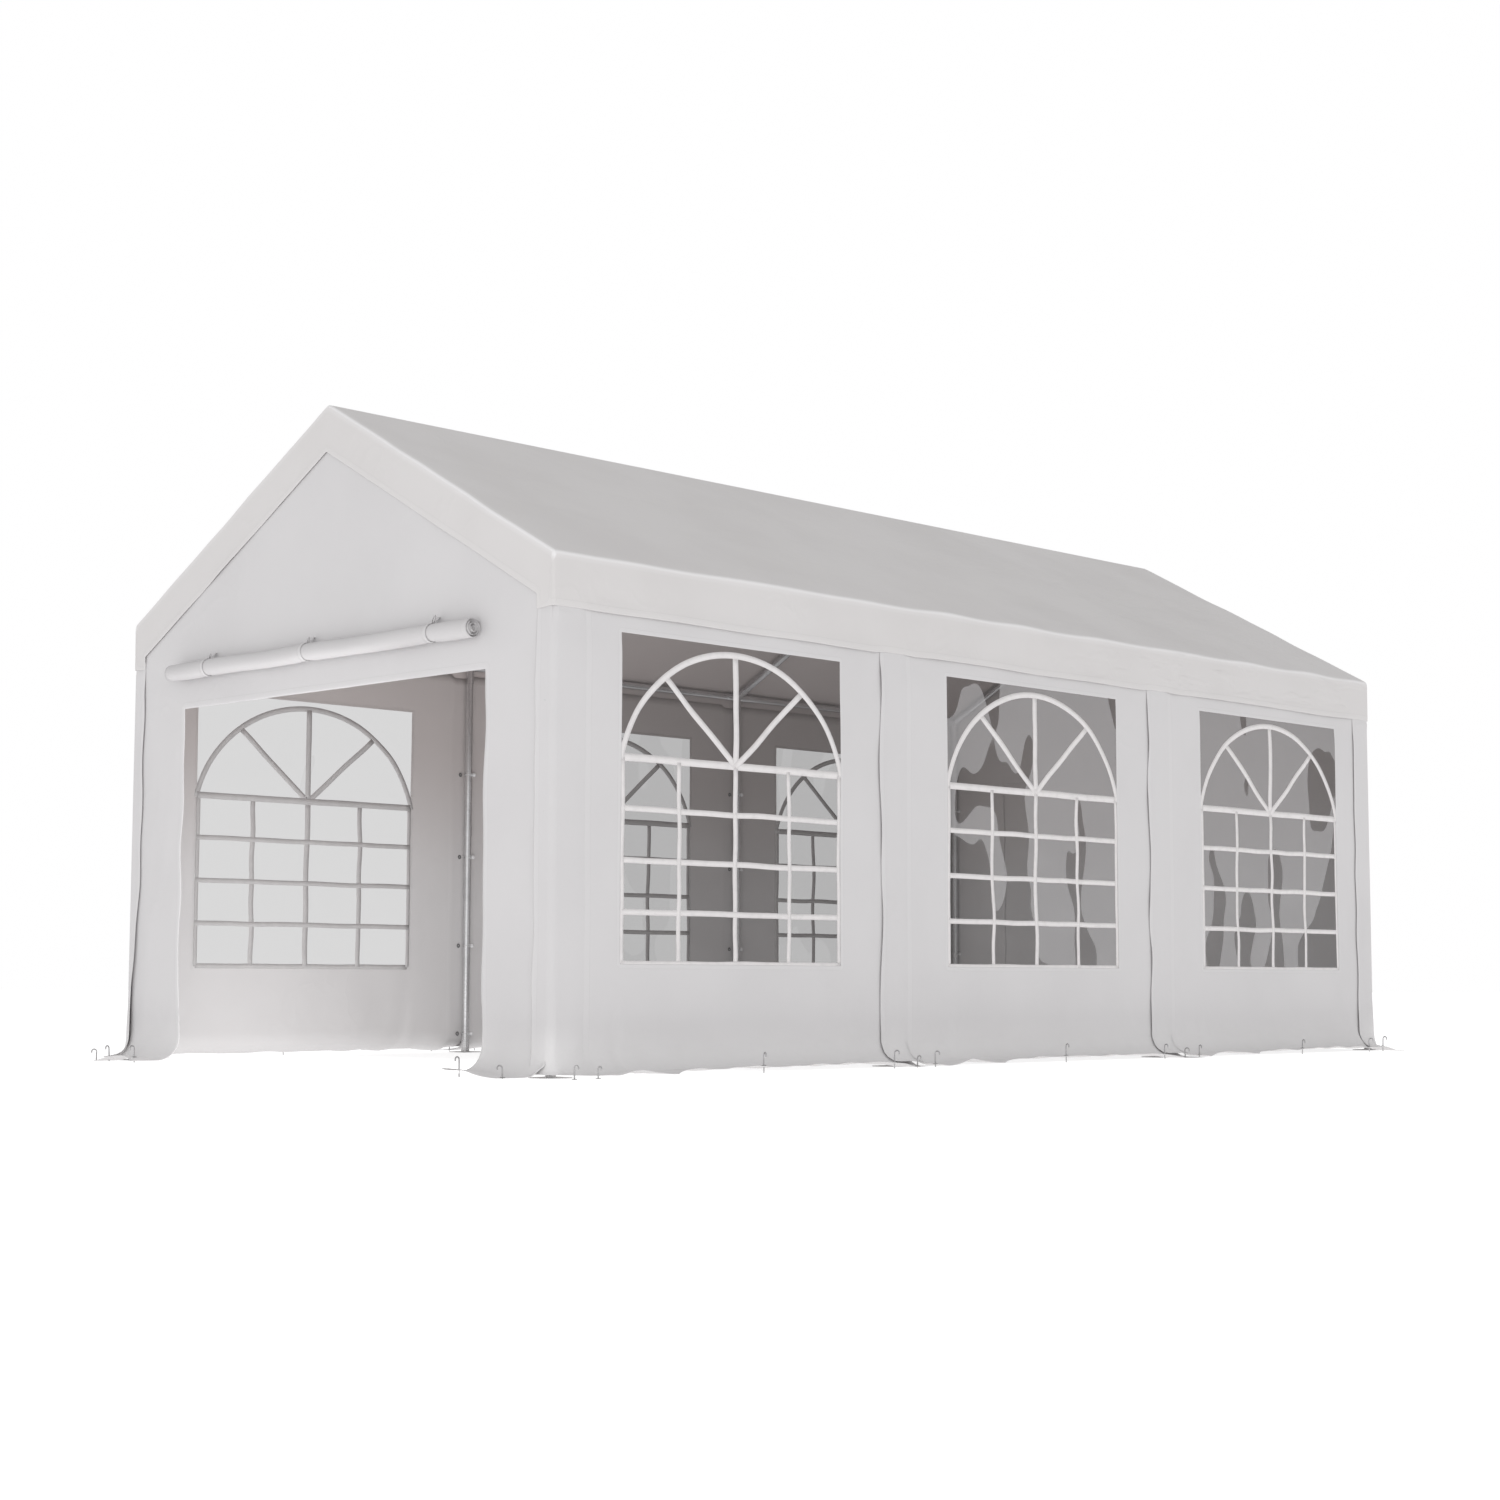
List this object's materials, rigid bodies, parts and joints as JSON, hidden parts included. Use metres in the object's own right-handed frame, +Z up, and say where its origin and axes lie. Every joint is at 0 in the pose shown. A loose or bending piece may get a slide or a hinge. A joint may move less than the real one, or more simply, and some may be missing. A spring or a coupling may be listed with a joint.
{
  "type": "marquee tent",
  "caption": "Marquee tent with a pitched roof, side walls with arched window panes and skirts, an open gable doorway with its door rolled up, on a steel tube frame.",
  "frame": {"origin": "on the ground, in the middle of the tent", "axes": "+Z up, +Y along the tent from the open front gable to the back gable, +X to the right seen from the front"},
  "size_m": [3.4134, 6.4134, 2.85],
  "materials": {
    "tarpaulin": "satin white tarpaulin, softly creased",
    "clear_vinyl": "clear soft vinyl, slightly rippled",
    "galvanised_steel": "galvanised, satin",
    "webbing": "matt white webbing"
  },
  "bodies": {
    "root": {"roof_cover": "tarpaulin", "front_wall": "tarpaulin", "back_wall": "tarpaulin", "back_door": "tarpaulin", "door_roll": "tarpaulin", "door_tie_1": "webbing", "door_tie_2": "webbing", "door_tie_3": "webbing", "right_wall_1": "tarpaulin", "right_wall_2": "tarpaulin", "right_wall_3": "tarpaulin", "left_wall_1": "tarpaulin", "left_wall_2": "tarpaulin", "left_wall_3": "tarpaulin", "right_window_1": "clear_vinyl", "right_window_2": "clear_vinyl", "right_window_3": "clear_vinyl", "left_window_1": "clear_vinyl", "left_window_2": "clear_vinyl", "left_window_3": "clear_vinyl", "ridge_rail": "galvanised_steel", "right_eave_rail": "galvanised_steel", "left_eave_rail": "galvanised_steel", "right_leg_1": "galvanised_steel", "right_leg_2": "galvanised_steel", "right_leg_3": "galvanised_steel", "right_leg_4": "galvanised_steel", "left_leg_1": "galvanised_steel", "left_leg_2": "galvanised_steel", "left_leg_3": "galvanised_steel", "left_leg_4": "galvanised_steel", "right_rafter_1": "galvanised_steel", "right_rafter_2": "galvanised_steel", "right_rafter_3": "galvanised_steel", "right_rafter_4": "galvanised_steel", "left_rafter_1": "galvanised_steel", "left_rafter_2": "galvanised_steel", "left_rafter_3": "galvanised_steel", "left_rafter_4": "galvanised_steel"}
  },
  "joints": []
}
